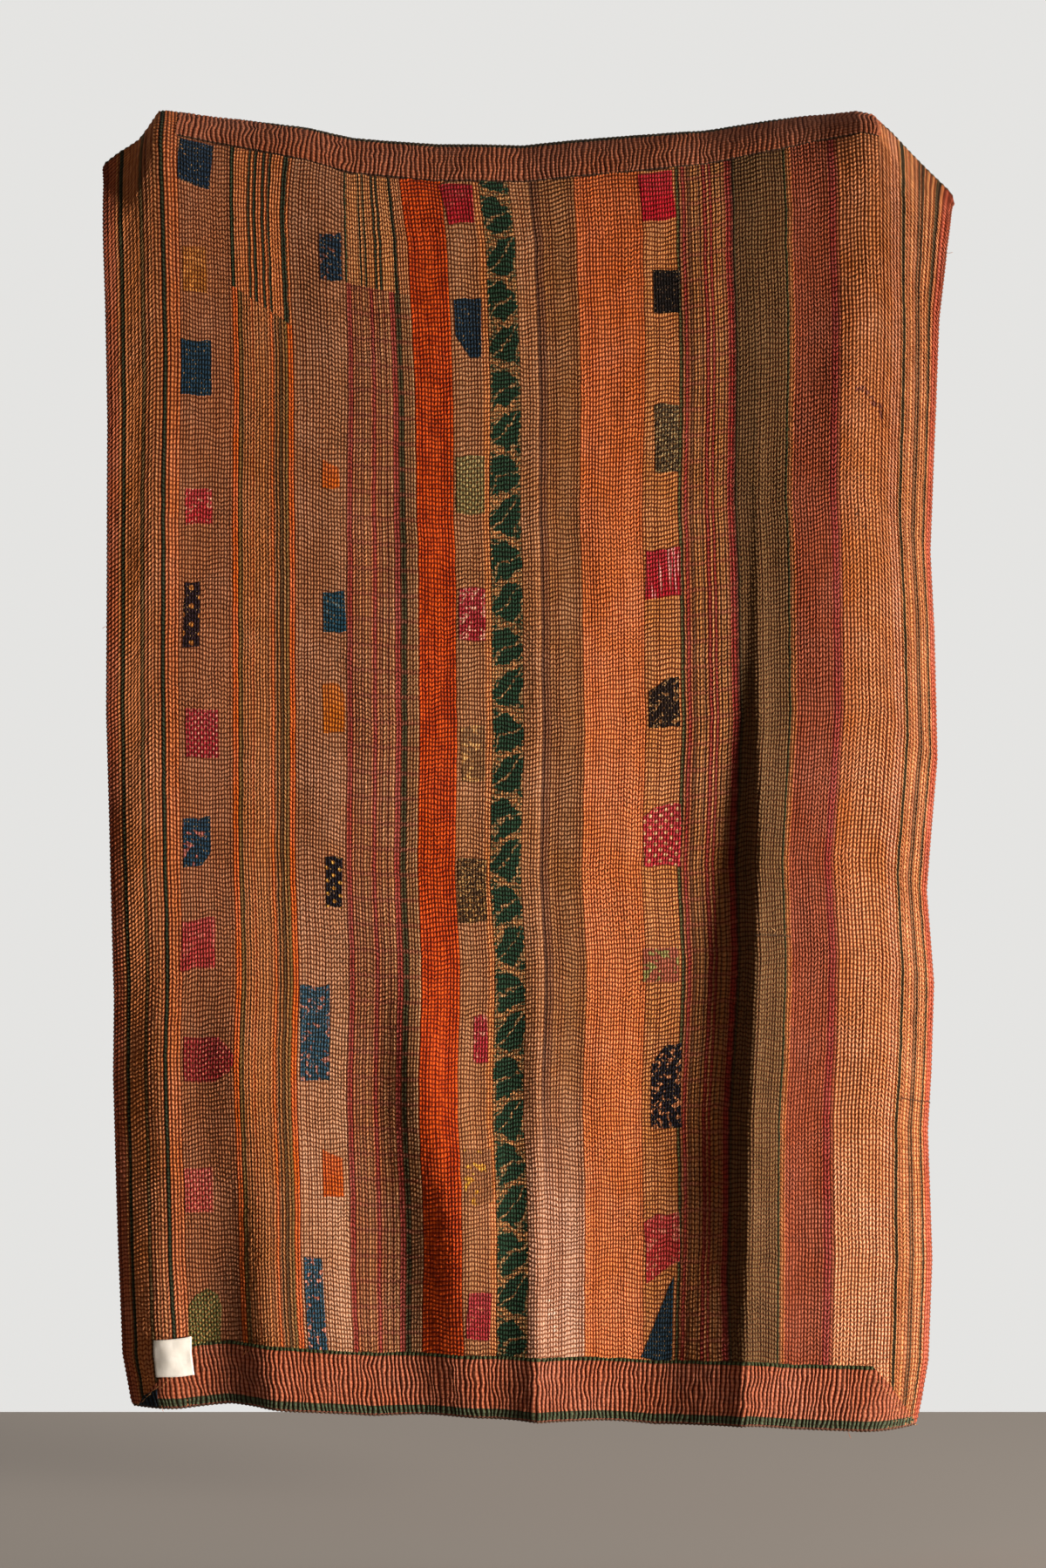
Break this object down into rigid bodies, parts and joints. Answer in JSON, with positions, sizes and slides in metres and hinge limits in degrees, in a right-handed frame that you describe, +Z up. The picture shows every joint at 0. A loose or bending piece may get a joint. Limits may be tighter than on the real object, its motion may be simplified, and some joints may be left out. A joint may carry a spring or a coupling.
{
  "type": "hanging patchwork quilt",
  "caption": "Thin hand-stitched patchwork quilt of long worn cotton strips with small sewn scraps, hung face on from its top edge in soft folds.",
  "frame": {"origin": "middle of the quilt's top edge as it hangs", "axes": "+Z up, -Y out of the quilt's face towards a viewer, +X to that viewer's right"},
  "size_m": [1.438, 0.1475, 2.2327],
  "materials": {
    "worn_cotton": "old matt cotton, closely run over with tan thread",
    "dark_terracotta_cotton": "old matt cotton in narrow raised ridges",
    "terracotta_cotton": "old matt cotton in narrow raised ridges",
    "white_tape": "plain white cotton",
    "navy_cotton": "matt cotton"
  },
  "bodies": {
    "root": {"quilt_body": "worn_cotton", "top_band": "dark_terracotta_cotton", "bottom_band": "terracotta_cotton", "label": "white_tape", "corner_patch": "navy_cotton"}
  },
  "joints": []
}
